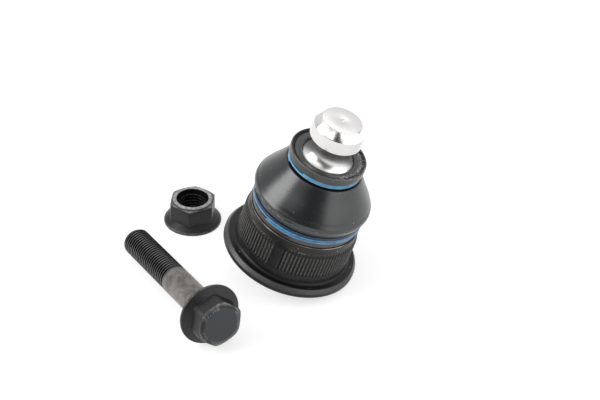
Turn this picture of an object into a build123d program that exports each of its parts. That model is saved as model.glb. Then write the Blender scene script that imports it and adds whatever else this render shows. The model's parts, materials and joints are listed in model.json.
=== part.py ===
from build123d import *
from math import acos, asin, atan2, cos, degrees, hypot, radians, sin, sqrt, tan
import os

# Press-in suspension ball joint with its pinch bolt and nut, lying as a set on a flat surface.
# All sizes are in millimetres. The joint is drawn upright on its own axis, with Z 0 at the
# underside of the housing's flange, and is then leaned over until it rests on its cover and rim.

# ---- ball stud ----
ball_dia = 26.0
ball_height = 11.6            # ball centre above the flange's underside
neck_dia = 14.4
neck_reach = 15.4             # ball centre to the top of the straight neck
flare_length = 6.6
pin_dia = 18.0
collar_seat = 10.2            # full pin diameter under the boot's collar
pinch_groove = 8.1            # width of the groove that the pinch bolt crosses
pinch_depth = 2.0
pin_band = 4.8                # cylinder between the groove and the end chamfer
end_chamfer = 2.8
end_face_dia = 13.6
centre_dimple_dia = 2.0
edge_round = 0.3

# ---- housing ----
flange_dia = 47.4
flange_thickness = 3.4
flange_bevel = 1.0
flange_bevel_height = 1.4
flange_break = 0.7            # chamfer round the underside of the flange
seat_dia = 40.3               # smooth press-fit band above the flange
seat_length = 3.3
root_fillet = 1.1
knurl_dia = 40.2
knurl_length = 8.7
knurl_depth = 0.42
knurl_count = 100
knurl_gap_angle = -96.0       # middle of the stretch that the knurling tool left blank
knurl_gap_count = 3
neck_run_in = 1.1
collar_dia = 38.8
collar_length = 2.85
collar_break = 0.35
boot_groove_dia = 33.8
boot_groove_height = 3.4
mouth_lip_overhang = 0.6      # lip beyond the boot's groove
mouth_lip_height = 1.5
mouth_play = 0.6              # between the tilted neck and the mouth
bearing_cone = 1.8            # bevel on the upper bearing's shoulder
cover_rim_width = 1.3         # cover's rim beyond the bearing's bore
crimp_thickness = 0.8
crimp_overlap = 1.6

# ---- bearing shells, spring and cover ----
tilt_limit = 25.0             # degrees that the stud leans in any direction
ball_play = 0.10
bearing_wall = 2.85           # both shells, between the ball and the housing
mouth_margin = 2.4            # degrees left between the tilted neck and the bearing
shell_play = 0.05             # shells, cover and spring to what holds them
cup_floor = 1.3
cup_play = 0.4                # lower cup to the cover's dome
shell_split = 0.3             # gap between the two bearing shells
spring_thickness = 0.6
spring_height = 1.9
spring_dia = 12.0
spring_bore_dia = 5.2
cover_thickness = 1.5
cover_dome_radius = 17.2

# ---- dust boot and its rings ----
boot_play = 0.05
boot_wall = 2.1
bead_wall = 1.6               # rubber between the housing's groove and the lower ring
bead_rim = 0.4                # bead beyond the lower ring's seat
bead_foot = 1.9               # foot of the boot under its lower ring
bulge_dia = 41.0
bulge_height = 8.1            # boot's foot to its widest line
flank_line = (                # the cone above it: height over the boot's foot, then diameter
    (10.1, 39.6),
    (12.0, 36.8),
    (15.5, 32.3),
    (18.4, 28.7),
)
shoulder_dia = 27.3
upper_seat_dia = 23.9
lip_dia = 26.5
lip_rise = 1.15               # lip above the lower edge of the pinch groove
lip_thickness = 2.75
lip_bead = 0.65               # rolled edge round the lip
lip_dish = 0.4                # lip's face below its rolled edge
collar_skirt = 2.3            # boot's collar below its upper ring
boot_grip_play = 0.1
lower_wire = (0.85, 0.92)     # flat wire, radial by axial
lower_turns = 2.3
lower_wire_end = -122.0        # degrees round the joint to the wire's lower end
upper_wire = (0.8, 0.78)
upper_turns = 1.9
upper_wire_end = -148.0
wire_gap = 0.04

# ---- pinch bolt and nut (M10) ----
thread_nominal = 10.0
thread_pitch = 1.25
thread_dia = thread_nominal - 0.15
shank_dia = thread_nominal - 0.05
bolt_length = 55.0
bolt_shank_length = 24.5
bolt_flange_dia = 21.4
bolt_head_height = 8.8
bolt_flange_rim = 0.9
bolt_flange_rise = 2.6
hex_across_flats = 15.0
hex_face_share = 0.87         # chamfered end face against the width across flats
hex_chamfer_angle = 18.0
hex_corner_round = 2.0        # forged hexagons have rounded corners
point_chamfer = 1.0
nut_flange_dia = 20.5
nut_height = 9.6
nut_flange_rim = 0.9
nut_flange_rise = 2.7
minor_per_pitch = 1.0825      # how much narrower the nut's thread is than its nominal size
nut_bore_dia = thread_nominal - minor_per_pitch * thread_pitch
nut_mouth_dia = 11.7

# ---- how the pieces lie ----
joint_place = (-3.4, -40.2)   # foot of the joint's axis on the surface, along X and Y
joint_bearing = -15.4         # degrees from +X that the stud points to
bolt_place = (-28.7, -81.6)
bolt_bearing = 121.0
bolt_roll = 9.7
nut_place = (-38.3, -14.5)
nut_roll = 26.0

# ---- worked out from the sizes above ----
ball_radius = ball_dia / 2
neck_radius = neck_dia / 2
pin_radius = pin_dia / 2
seat_radius = seat_dia / 2
collar_radius = collar_dia / 2
cavity_radius = ball_radius + ball_play + bearing_wall + shell_play
flange_radius = flange_dia / 2
boot_groove_radius = boot_groove_dia / 2
mouth_lip_radius = boot_groove_radius + mouth_lip_overhang
ring_seat_radius = boot_groove_radius + boot_play + bead_wall

seat_top = flange_thickness + seat_length
knurl_top = seat_top + knurl_length
collar_foot = knurl_top + neck_run_in
collar_top = collar_foot + collar_length
groove_top = collar_top + boot_groove_height
housing_top = groove_top + mouth_lip_height

flare_foot = ball_height + neck_reach
flare_top = flare_foot + flare_length
pinch_foot = flare_top + collar_seat
pinch_top = pinch_foot + pinch_groove
band_top = pinch_top + pin_band
pin_end = band_top + end_chamfer

socket_radius = ball_radius + ball_play
mouth_angle = degrees(asin(neck_radius / ball_radius)) + tilt_limit + mouth_margin
mouth_height = ball_height + socket_radius * cos(radians(mouth_angle))
mouth_radius = socket_radius * sin(radians(mouth_angle))
cup_bottom = ball_height - socket_radius - cup_floor
cover_inside = cup_bottom - spring_height
cover_bottom = cover_inside - cover_thickness
dome_centre = cover_bottom + cover_dome_radius
dome_inner_radius = cover_dome_radius - cover_thickness
cover_rim_top = crimp_thickness + cover_thickness
cover_rim_radius = cavity_radius + cover_rim_width
crimp_mouth_radius = cover_rim_radius - crimp_overlap


def rest_lean():
    """Degrees that the joint leans over when it rests on its domed cover and on its rim."""
    reach = flange_radius - flange_break
    rise = dome_centre
    return degrees(atan2(reach, rise) - acos(cover_dome_radius / hypot(reach, rise)))


def tilted_neck_radius(height):
    """Reach of the stud's neck from the housing's axis, at a height above the ball, at full tilt."""
    lean = radians(tilt_limit)
    return height * tan(lean) + neck_radius / cos(lean)


def sphere_reach(radius, offset):
    """Radius of a sphere's section at a distance from its centre."""
    return sqrt(radius**2 - offset**2)


def turned(*outline):
    """A solid of revolution about Z from curves that close on themselves in radius and height."""
    return revolve(make_face(Plane.XZ * (Curve() + list(outline))), Axis.Z, 360)


def turned_polygon(*points):
    """A solid of revolution about Z from a closed outline of straight edges."""
    return turned(Polyline(*points, close=True))


def rings_at(solid, *heights):
    """The round edges of a turned solid that lie at the given heights."""
    rings = solid.edges().filter_by(GeomType.CIRCLE)
    return [ring for ring in rings if any(abs(ring.center().Z - z) < 1e-4 for z in heights)]


# ---- the joint's pieces, upright on their own axis ----
def knurl_outline():
    """Cross-section of the knurled band: even splines, with one short stretch left blank."""
    crest = knurl_dia / 2
    root = crest - knurl_depth
    step = 360 / knurl_count
    points = []
    for number in range(knurl_count):
        blank = number < knurl_gap_count
        middle = knurl_gap_angle + (number - (knurl_gap_count - 1) / 2) * step
        for turn, radius in ((-0.5, root), (-0.2, crest), (0.2, crest)):
            edge = crest if blank and number + turn > 0 else radius
            angle = radians(middle + turn * step)
            points.append((edge * cos(angle), edge * sin(angle)))
    return make_face(Polyline(*points, close=True))


def knurled_band():
    crest = knurl_dia / 2
    height = collar_foot - seat_top
    splines = Pos(0, 0, seat_top) * extrude(knurl_outline(), height)
    envelope = turned_polygon(
        (0, seat_top),
        (crest + knurl_depth, seat_top),
        (crest + knurl_depth, knurl_top - knurl_depth),
        (collar_radius, collar_foot),
        (0, collar_foot),
    )
    return splines & envelope


def housing_outside():
    """Flange, press-fit band, collar, boot groove and mouth lip, all solid to the axis."""
    rim = flange_radius
    bevel_foot = flange_thickness - flange_bevel_height
    fillet_end = (seat_radius + root_fillet, flange_thickness)
    fillet_top = (seat_radius, flange_thickness + root_fillet)
    lip = mouth_lip_radius
    foot = Polyline(
        (0, 0),
        (rim - flange_break, 0),
        (rim, flange_break),
        (rim, bevel_foot),
        (rim - flange_bevel, flange_thickness),
        fillet_end,
    )
    root = RadiusArc(fillet_end, fillet_top, root_fillet)
    above = Polyline(
        fillet_top,
        (seat_radius, seat_top),
        (knurl_dia / 2 - knurl_depth, seat_top),
        (collar_radius, collar_foot),
        (collar_radius, collar_top - collar_break),
        (collar_radius - collar_break, collar_top),
        (boot_groove_radius, collar_top),
        (boot_groove_radius, groove_top),
        (lip, groove_top),
        (lip, housing_top - edge_round),
        (lip - edge_round, housing_top),
        (0, housing_top),
        (0, 0),
    )
    return turned(foot, root, above)


def housing_cavity():
    """Cover seat, bearing bore, bearing shoulder and flared mouth, as the space they enclose."""
    shoulder = mouth_height + shell_play
    mouth_foot = tilted_neck_radius(shoulder - ball_height) + mouth_play
    mouth_top = tilted_neck_radius(housing_top - ball_height) + mouth_play
    cone_top = cavity_radius - bearing_cone
    return turned_polygon(
        (0, 0),
        (crimp_mouth_radius, 0),
        (crimp_mouth_radius, crimp_thickness),
        (cover_rim_radius + shell_play, crimp_thickness),
        (cover_rim_radius + shell_play, cover_rim_top + shell_play),
        (cavity_radius, cover_rim_top + shell_play),
        (cavity_radius, shoulder - bearing_cone),
        (cone_top, shoulder),
        (mouth_foot, shoulder),
        (mouth_top, housing_top),
        (0, housing_top),
    )


def make_housing():
    return housing_outside() + knurled_band() - housing_cavity()


def make_closing_cover():
    inner_edge = sphere_reach(dome_inner_radius, dome_centre - cover_rim_top)
    inner_middle = inner_edge / 2
    low = crimp_thickness + shell_play / 2
    outer_edge = sphere_reach(cover_dome_radius, dome_centre - low)
    outer_middle = outer_edge / 2
    dome = ThreePointArc(
        (0, cover_bottom),
        (outer_middle, dome_centre - sphere_reach(cover_dome_radius, outer_middle)),
        (outer_edge, low),
    )
    rim = Polyline(
        (outer_edge, low),
        (cover_rim_radius, low),
        (cover_rim_radius, cover_rim_top),
        (inner_edge, cover_rim_top),
    )
    inside = ThreePointArc(
        (inner_edge, cover_rim_top),
        (inner_middle, dome_centre - sphere_reach(dome_inner_radius, inner_middle)),
        (0, cover_inside),
    )
    return turned(dome, rim, inside, Line((0, cover_inside), (0, cover_bottom)))


def make_preload_spring():
    """Coned disc spring: its outer edge bears on the lower cup, its bore on the cover's dome."""
    outer = spring_dia / 2
    bore = spring_bore_dia / 2
    top = cup_bottom - shell_play
    foot = dome_centre - sphere_reach(dome_inner_radius, bore) + shell_play
    return turned_polygon(
        (bore, foot),
        (outer, top - spring_thickness),
        (outer, top),
        (bore, foot + spring_thickness),
    )


def make_lower_bearing():
    rim = ball_height - shell_split / 2
    outer = cavity_radius - shell_play
    shoulder = cover_rim_top + cup_play
    bowl_radius = dome_inner_radius - cup_play
    socket_edge = sphere_reach(socket_radius, shell_split / 2)
    socket_middle = socket_radius * sqrt(0.5)
    bowl_top = (sphere_reach(bowl_radius, dome_centre - shoulder), shoulder)
    bowl_foot = (sphere_reach(bowl_radius, dome_centre - cup_bottom), cup_bottom)
    bowl_middle = (bowl_top[0] + bowl_foot[0]) / 2
    socket = ThreePointArc(
        (0, ball_height - socket_radius),
        (socket_middle, ball_height - socket_middle),
        (socket_edge, rim),
    )
    side = Polyline((socket_edge, rim), (outer, rim), (outer, shoulder), bowl_top)
    bowl = ThreePointArc(
        bowl_top,
        (bowl_middle, dome_centre - sphere_reach(bowl_radius, bowl_middle)),
        bowl_foot,
    )
    foot = Polyline(bowl_foot, (0, cup_bottom), (0, ball_height - socket_radius))
    return turned(socket, side, bowl, foot)


def make_upper_bearing():
    rim = ball_height + shell_split / 2
    outer = cavity_radius - shell_play
    socket_edge = sphere_reach(socket_radius, shell_split / 2)
    middle = radians((mouth_angle + 90) / 2)
    socket = ThreePointArc(
        (socket_edge, rim),
        (socket_radius * sin(middle), ball_height + socket_radius * cos(middle)),
        (mouth_radius, mouth_height),
    )
    back = Polyline(
        (mouth_radius, mouth_height),
        (outer - bearing_cone, mouth_height),
        (outer, mouth_height - bearing_cone),
        (outer, rim),
        (socket_edge, rim),
    )
    return turned(socket, back)


def make_ball_stud():
    neck_joint = sphere_reach(ball_radius, neck_radius)
    flare_middle = (neck_radius + pin_radius) / 2
    groove_middle = (pinch_foot + pinch_top) / 2
    ball = ThreePointArc(
        (0, ball_height - ball_radius),
        (ball_radius, ball_height),
        (neck_radius, ball_height + neck_joint),
    )
    neck = Line((neck_radius, ball_height + neck_joint), (neck_radius, flare_foot))
    flare = Spline(
        (neck_radius, flare_foot),
        (flare_middle, (flare_foot + flare_top) / 2),
        (pin_radius, flare_top),
        tangents=((0, 1), (0, 1)),
    )
    collar = Line((pin_radius, flare_top), (pin_radius, pinch_foot))
    groove = ThreePointArc(
        (pin_radius, pinch_foot),
        (pin_radius - pinch_depth, groove_middle),
        (pin_radius, pinch_top),
    )
    end = Polyline(
        (pin_radius, pinch_top),
        (pin_radius, band_top),
        (end_face_dia / 2, pin_end),
        (0, pin_end),
        (0, ball_height - ball_radius),
    )
    stud = turned(ball, neck, flare, collar, groove, end)
    stud = fillet(rings_at(stud, pinch_foot, pinch_top, band_top, pin_end), edge_round)
    depth = centre_dimple_dia / 2
    dimple = turned_polygon((0, pin_end - depth), (depth, pin_end), (0, pin_end))
    return stud - dimple


def make_dust_boot():
    """Rubber boot: clamped in the housing's groove, flared to its widest line, coned to its lip."""
    foot = collar_top + boot_play
    lower_ledge = foot + bead_foot
    lower_shelf = lower_ledge + (lower_turns + 1) * lower_wire[1] + 2 * boot_play
    shelf_edge = (ring_seat_radius + lower_wire[0], lower_shelf)
    lip_top = pinch_foot + lip_rise
    upper_shelf = lip_top - lip_thickness
    upper_ledge = upper_shelf - (upper_turns + 1) * upper_wire[1] - 2 * boot_play
    upper_floor = upper_seat_dia / 2
    skirt_foot = upper_ledge - collar_skirt
    bore = pin_radius + boot_grip_play
    lip_radius = lip_dia / 2
    bead = ring_seat_radius + bead_rim
    inner_foot = boot_groove_radius + boot_play
    inner_lip = mouth_lip_radius + boot_play
    widest = (bulge_dia / 2, foot + bulge_height)
    flank = [(dia / 2, foot + height) for height, dia in flank_line]
    inner_flank = [(radius - boot_wall, height) for radius, height in (widest, *flank[1:])]
    lower_bead = Polyline(
        (inner_lip, groove_top - boot_play),
        (inner_foot, groove_top - boot_play),
        (inner_foot, foot),
        (bead, foot),
        (bead, lower_ledge),
        (ring_seat_radius, lower_ledge),
        (ring_seat_radius, lower_shelf),
        shelf_edge,
    )
    tuck = TangentArc(widest, shelf_edge, tangent=(0, -1))
    cone = Spline(
        widest,
        *flank,
        (shoulder_dia / 2, upper_ledge),
        tangents=((0, 1), (0, 1)),
    )
    collar = Polyline(
        (shoulder_dia / 2, upper_ledge),
        (upper_floor, upper_ledge),
        (upper_floor, upper_shelf),
        (lip_radius - edge_round, upper_shelf),
        (lip_radius, upper_shelf + edge_round),
        (lip_radius, lip_top - lip_bead),
        (lip_radius - lip_bead, lip_top),
        (lip_radius - 2 * lip_bead, lip_top - lip_dish),
        (bore, lip_top - lip_dish - lip_bead / 2),
        (bore, skirt_foot),
    )
    ceiling = TangentArc((bore, skirt_foot), inner_flank[-1], tangent=(1, 0))
    inside = Spline(*inner_flank)
    throat = Polyline(
        inner_flank[0],
        (inner_lip, housing_top + 2 * boot_play),
        (inner_lip, groove_top - boot_play),
    )
    return turned(lower_bead, tuck, cone, collar, ceiling, inside, throat)


def wire_ring(inner_radius, foot, wire, turns, start, lefthand=False):
    """Clamping ring of flat wire wound turn on turn, its lower end at the angle `start`."""
    thickness, pitch = wire
    path = Pos(0, 0, foot + pitch / 2) * Helix(
        pitch=pitch,
        height=pitch * turns,
        radius=inner_radius + thickness / 2,
        lefthand=lefthand,
    )
    section = Plane(origin=path @ 0, x_dir=(1, 0, 0), z_dir=path % 0) * Rectangle(
        thickness, pitch - wire_gap
    )
    return Rot(0, 0, start) * sweep(section, path=path, is_frenet=True)


def make_lower_boot_ring():
    foot = collar_top + bead_foot + 2 * boot_play
    return wire_ring(
        ring_seat_radius + boot_play, foot, lower_wire, lower_turns, lower_wire_end
    )


def make_upper_boot_ring():
    foot = pinch_foot + lip_rise - lip_thickness - (upper_turns + 1) * upper_wire[1] - boot_play
    return wire_ring(
        upper_seat_dia / 2 + boot_play, foot, upper_wire, upper_turns, upper_wire_end, True
    )


# ---- pinch bolt and nut, each upright with Z 0 at its bearing face ----
def hexagon_prism(height):
    corner = hex_across_flats / 2 / cos(radians(30))
    prism = extrude(RegularPolygon(corner, 6), height)
    return fillet(prism.edges().filter_by(Axis.Z), hex_corner_round)


def flange_cone(radius, rim, rise):
    """Round flange under a hexagon: a short rim, then a slope up to the flats."""
    top = hex_across_flats / 2
    return turned_polygon(
        (0, 0),
        (radius - edge_round, 0),
        (radius, edge_round),
        (radius, rim),
        (top, rise),
        (0, rise),
    )


def chamfered_hexagon(height):
    """Hexagon with the round chamfer that trims its corners at the top."""
    flat = hex_across_flats / 2
    corner = flat / cos(radians(30))
    face_radius = flat * hex_face_share
    drop = (corner - face_radius) * tan(radians(hex_chamfer_angle))
    trim = turned_polygon(
        (0, 0),
        (corner, 0),
        (corner, height - drop),
        (face_radius, height),
        (0, height),
    )
    return hexagon_prism(height) & trim


def make_pinch_bolt():
    shank_end = bolt_shank_length
    thread_radius = thread_dia / 2
    shank_radius = shank_dia / 2
    stem = turned_polygon(
        (0, 0),
        (shank_radius, 0),
        (shank_radius, shank_end),
        (thread_radius, shank_end),
        (thread_radius, bolt_length - point_chamfer),
        (thread_radius - point_chamfer, bolt_length),
        (0, bolt_length),
    )
    head = flange_cone(bolt_flange_dia / 2, bolt_flange_rim, bolt_flange_rise)
    head += chamfered_hexagon(bolt_head_height)
    return stem + Rot(180, 0, 0) * head


def make_pinch_nut():
    bore = nut_bore_dia / 2
    mouth = nut_mouth_dia / 2
    sink = mouth - bore
    body = flange_cone(nut_flange_dia / 2, nut_flange_rim, nut_flange_rise)
    body += chamfered_hexagon(nut_height)
    thread_bore = turned_polygon(
        (0, 0),
        (mouth, 0),
        (bore, sink),
        (bore, nut_height - sink),
        (mouth, nut_height),
        (0, nut_height),
    )
    return body - thread_bore


# ---- how each piece lies on the surface ----
def joint_location():
    """The joint leaned over about its foot until its cover and its rim both touch the surface."""
    lean = rest_lean()
    reach = flange_radius - flange_break
    foot_height = reach * sin(radians(lean))
    return Pos(*joint_place, foot_height) * Rot(0, 0, joint_bearing) * Rot(0, lean, 0)


def bolt_location():
    """The bolt on its flange's rim and on the end of its thread."""
    flange = bolt_flange_dia / 2
    thread = thread_dia / 2
    slope = degrees(atan2(flange - thread, bolt_length - point_chamfer - edge_round))
    seat_height = flange * cos(radians(slope)) + edge_round * sin(radians(slope))
    lie = Rot(0, 0, bolt_bearing) * Rot(0, 90 + slope, 0)
    return Pos(*bolt_place, seat_height) * lie * Rot(0, 0, bolt_roll)


def nut_location():
    return Pos(*nut_place, 0) * Rot(0, 0, nut_roll)


def build():
    """Every node's solid where it lies, about the middle of the foot of the whole set."""
    joint = joint_location()
    pieces = {
        "housing": joint * make_housing(),
        "closing_cover": joint * make_closing_cover(),
        "preload_spring": joint * make_preload_spring(),
        "lower_bearing_cup": joint * make_lower_bearing(),
        "upper_bearing_ring": joint * make_upper_bearing(),
        "ball_stud": joint * make_ball_stud(),
        "dust_boot": joint * make_dust_boot(),
        "lower_boot_ring": joint * make_lower_boot_ring(),
        "upper_boot_ring": joint * make_upper_boot_ring(),
        "pinch_bolt": bolt_location() * make_pinch_bolt(),
        "pinch_nut": nut_location() * make_pinch_nut(),
    }
    box = Compound(list(pieces.values())).bounding_box()
    middle = box.center()
    to_origin = Pos(-middle.X, -middle.Y, -box.min.Z)
    return to_origin, {name: to_origin * piece for name, piece in pieces.items()}


if __name__ == "__main__":
    os.makedirs("parts", exist_ok=True)
    shift, pieces = build()
    for name, piece in pieces.items():
        export_step(piece, f"parts/{name}.step")
    print("lean", round(rest_lean(), 3), "shift", shift.position)
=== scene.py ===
import json
import math
import bpy
from mathutils import Matrix, Vector


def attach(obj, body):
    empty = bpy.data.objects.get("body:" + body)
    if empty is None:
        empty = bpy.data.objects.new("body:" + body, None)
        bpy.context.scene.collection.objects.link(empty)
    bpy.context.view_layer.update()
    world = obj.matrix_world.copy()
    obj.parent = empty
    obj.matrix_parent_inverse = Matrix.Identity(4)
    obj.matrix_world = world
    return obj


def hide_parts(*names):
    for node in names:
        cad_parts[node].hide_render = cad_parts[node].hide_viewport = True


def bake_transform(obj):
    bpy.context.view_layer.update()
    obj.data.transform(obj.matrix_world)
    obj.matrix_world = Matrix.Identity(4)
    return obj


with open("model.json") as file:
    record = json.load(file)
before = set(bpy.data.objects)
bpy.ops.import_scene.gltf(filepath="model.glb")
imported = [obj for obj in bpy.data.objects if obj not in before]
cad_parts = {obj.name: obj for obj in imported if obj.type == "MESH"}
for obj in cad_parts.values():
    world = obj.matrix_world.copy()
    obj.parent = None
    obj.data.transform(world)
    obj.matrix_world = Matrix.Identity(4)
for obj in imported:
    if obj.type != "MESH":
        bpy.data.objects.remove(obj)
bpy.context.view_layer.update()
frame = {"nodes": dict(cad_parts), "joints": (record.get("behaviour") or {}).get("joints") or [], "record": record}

# pieces are modelled in millimetres on their own axis, with +Z up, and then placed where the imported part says
millimetre = 0.001
joints = {joint["name"]: joint for joint in frame["joints"]}
mounts = {mount["name"]: mount for mount in frame["record"]["mounts"]}
placeHeights = {
    "ball": 11.6,  # the ball's centre above the underside of the flange
    "nut": 9.6,
    "boltStem": 54.0,  # as far as the point's chamfer
}


def placement(origin, upAxis, sideAxis):
    up = Vector(upAxis).normalized()
    side = Vector(sideAxis).normalized()
    across = side.cross(up)
    place = Matrix((across, side, up)).transposed().to_4x4()
    place.translation = Vector(origin)
    return place @ Matrix.Scale(millimetre, 4)


ballCentre = Vector(joints["stud_tilt"]["pos_m"])
jointUp = Vector(joints["cup_turn"]["axis"])
jointFoot = ballCentre - jointUp * placeHeights["ball"] * millimetre
jointPlace = placement(jointFoot, jointUp, joints["stud_tilt"]["axis"])

nutUp = Vector((0, 0, 1))
nutFoot = Vector(mounts["nut_thread"]["pos_m"]) - nutUp * placeHeights["nut"] / 2 * millimetre
nutAcross = Vector(mounts["nut_flange_face"]["pos_m"]) - nutFoot
nutPlace = placement(nutFoot, nutUp, nutUp.cross(nutAcross))

boltAxis = Vector(mounts["bolt_stem"]["axis"])
boltFoot = Vector(mounts["bolt_stem"]["pos_m"]) - boltAxis * placeHeights["boltStem"] / 2 * millimetre
boltAcross = Vector(mounts["bolt_flange_face"]["pos_m"]) - boltFoot
boltPlace = placement(boltFoot, boltAxis, boltAxis.cross(boltAcross))
print("stage: frame read")

modelling = {
    "stepAngle": 12,  # degrees between the points of a rounded corner
    "smallTurn": 0.02,  # a corner flatter than this stays a corner
    "sideShare": 0.49,  # the most of a side that a rounding may take
    "outlineWeld": 0.0001,
    "turnedWeld": 0.0005,
    "cutWeld": 0.001,
    "sliver": 0.0005,
    "smoothAngle": 28,
}


def clearSelection():
    bpy.ops.object.select_all(action="DESELECT")


def makeActive(piece):
    clearSelection()
    piece.select_set(True)
    bpy.context.view_layer.objects.active = piece


def weld(distance):
    bpy.ops.mesh.select_all(action="SELECT")
    bpy.ops.mesh.remove_doubles(threshold=distance)


def endEditing():
    # with every face turned outwards
    bpy.ops.mesh.select_all(action="SELECT")
    bpy.ops.mesh.normals_make_consistent(inside=False)
    bpy.ops.object.mode_set(mode="OBJECT")


def roundedOutline(corners, stepAngle):
    # each corner is (radius, height, rounding); the outline closes on itself
    points = []
    count = len(corners)
    for number, corner in enumerate(corners):
        here = Vector(corner[:2])
        rounding = corner[2] if len(corner) > 2 else 0
        before = Vector(corners[number - 1][:2]) - here
        after = Vector(corners[(number + 1) % count][:2]) - here
        turn = math.pi - before.angle(after)
        if rounding == 0 or turn < modelling["smallTurn"]:
            points.append(here)
            continue
        most = modelling["sideShare"] * min(before.length, after.length)
        back = min(rounding * math.tan(turn / 2), most)
        radius = back / math.tan(turn / 2)
        middle = (before.normalized() + after.normalized()).normalized()
        centre = here + middle * (radius / math.cos(turn / 2))
        start = here + before.normalized() * back - centre
        end = here + after.normalized() * back - centre
        steps = max(1, round(math.degrees(turn) / stepAngle))
        sweep = start.angle_signed(end)
        for step in range(steps + 1):
            points.append(centre + Matrix.Rotation(-sweep * step / steps, 2) @ start)
    return points


def drawOutline(name, points):
    # a single vertex is extruded from point to point, in the plane of X and Z
    clearSelection()
    bpy.ops.mesh.primitive_plane_add(size=1)
    piece = bpy.context.active_object
    piece.name = name
    bpy.ops.object.mode_set(mode="EDIT")
    bpy.ops.mesh.select_mode(type="VERT")
    bpy.ops.mesh.select_all(action="SELECT")
    bpy.ops.mesh.merge(type="CENTER")
    bpy.ops.transform.translate(value=(points[0][0], 0, points[0][1]))
    last = points[0]
    for point in points[1:]:
        move = (point[0] - last[0], 0, point[1] - last[1])
        bpy.ops.mesh.extrude_region_move(TRANSFORM_OT_translate={"value": move})
        last = point
    weld(modelling["outlineWeld"])
    return piece


def turned(name, corners, steps, stepAngle=modelling["stepAngle"]):
    # a turned shape; an outline that starts and ends on the axis is left open there
    points = roundedOutline(corners, stepAngle)
    onAxis = points[0][0] == 0 and points[-1][0] == 0
    piece = drawOutline(name, points if onAxis else [*points, points[0]])
    bpy.ops.mesh.spin(steps=steps, angle=math.tau, center=(0, 0, 0), axis=(0, 0, 1))
    weld(modelling["turnedWeld"])
    endEditing()
    return piece


def arcCorners(centre, radius, startAngle, endAngle, steps):
    # angles in degrees from straight up, turning outwards
    corners = []
    for step in range(steps + 1):
        angle = math.radians(startAngle + (endAngle - startAngle) * step / steps)
        corners.append((centre[0] + radius * math.sin(angle), centre[1] + radius * math.cos(angle)))
    return corners


def selectParts(piece, kind, test):
    # leaves the piece in edit mode with only the vertices or edges that pass the test selected
    makeActive(piece)
    bpy.ops.object.mode_set(mode="EDIT")
    bpy.ops.mesh.select_mode(type=kind)
    bpy.ops.mesh.select_all(action="DESELECT")
    bpy.ops.object.mode_set(mode="OBJECT")
    mesh = piece.data
    if kind == "VERT":
        for vertex in mesh.vertices:
            vertex.select = test(vertex.co)
    else:
        for edge in mesh.edges:
            edge.select = test(*(mesh.vertices[number].co for number in edge.vertices))
    bpy.ops.object.mode_set(mode="EDIT")


def applyModifier(piece, kind, **settings):
    makeActive(piece)
    modifier = piece.modifiers.new(kind, kind)
    for key, value in settings.items():
        setattr(modifier, key, value)
    bpy.ops.object.modifier_apply(modifier=modifier.name)


def combine(piece, other, operation):
    applyModifier(piece, "BOOLEAN", operation=operation, object=other, solver="EXACT")
    bpy.data.objects.remove(other)
    bpy.ops.object.mode_set(mode="EDIT")
    weld(modelling["cutWeld"])
    bpy.ops.mesh.dissolve_degenerate(threshold=modelling["sliver"])
    bpy.ops.object.mode_set(mode="OBJECT")


def finishPiece(piece, place, body, material, replaced, smoothAngle=modelling["smoothAngle"]):
    makeActive(piece)
    piece.matrix_world = place
    bpy.ops.object.transform_apply(location=True, rotation=True, scale=True)
    bpy.ops.object.shade_smooth_by_angle(angle=math.radians(smoothAngle))
    piece.data.materials.clear()
    piece.data.materials.append(material)
    if body:
        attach(piece, body)
    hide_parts(replaced)


class Value:
    # a socket that can be written in sums
    def __init__(self, nodes, socket):
        self.nodes = nodes
        self.socket = socket

    def maths(self, operation, first, second):
        return self.nodes.node("Math", {"operation": operation}, {0: first, 1: second})

    def __add__(self, other):
        return self.maths("ADD", self, other)

    def __radd__(self, other):
        return self.maths("ADD", other, self)

    def __sub__(self, other):
        return self.maths("SUBTRACT", self, other)

    def __rsub__(self, other):
        return self.maths("SUBTRACT", other, self)

    def __mul__(self, other):
        return self.maths("MULTIPLY", self, other)

    def __rmul__(self, other):
        return self.maths("MULTIPLY", other, self)

    def __truediv__(self, other):
        return self.maths("DIVIDE", self, other)

    def __pow__(self, other):
        return self.maths("POWER", self, other)


class Nodes:
    # the nodes of one material or world
    def __init__(self, tree):
        self.tree = tree

    def node(self, kind, settings=None, values=None, out=0):
        made = self.tree.nodes.new("ShaderNode" + kind)
        for key, value in (settings or {}).items():
            setattr(made, key, value)
        for key, value in (values or {}).items():
            self.feed(made.inputs[key], value)
        return Value(self, made.outputs[out])

    def feed(self, socket, value):
        if isinstance(value, Value):
            self.tree.links.new(value.socket, socket)
        else:
            socket.default_value = value

    def step(self, value, low, high):
        # 0 below low, 1 above high, smooth between
        ends = {"Value": value, "From Min": low, "From Max": high, "To Min": 0.0, "To Max": 1.0}
        return self.node("MapRange", {"interpolation_type": "SMOOTHSTEP"}, ends)


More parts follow.
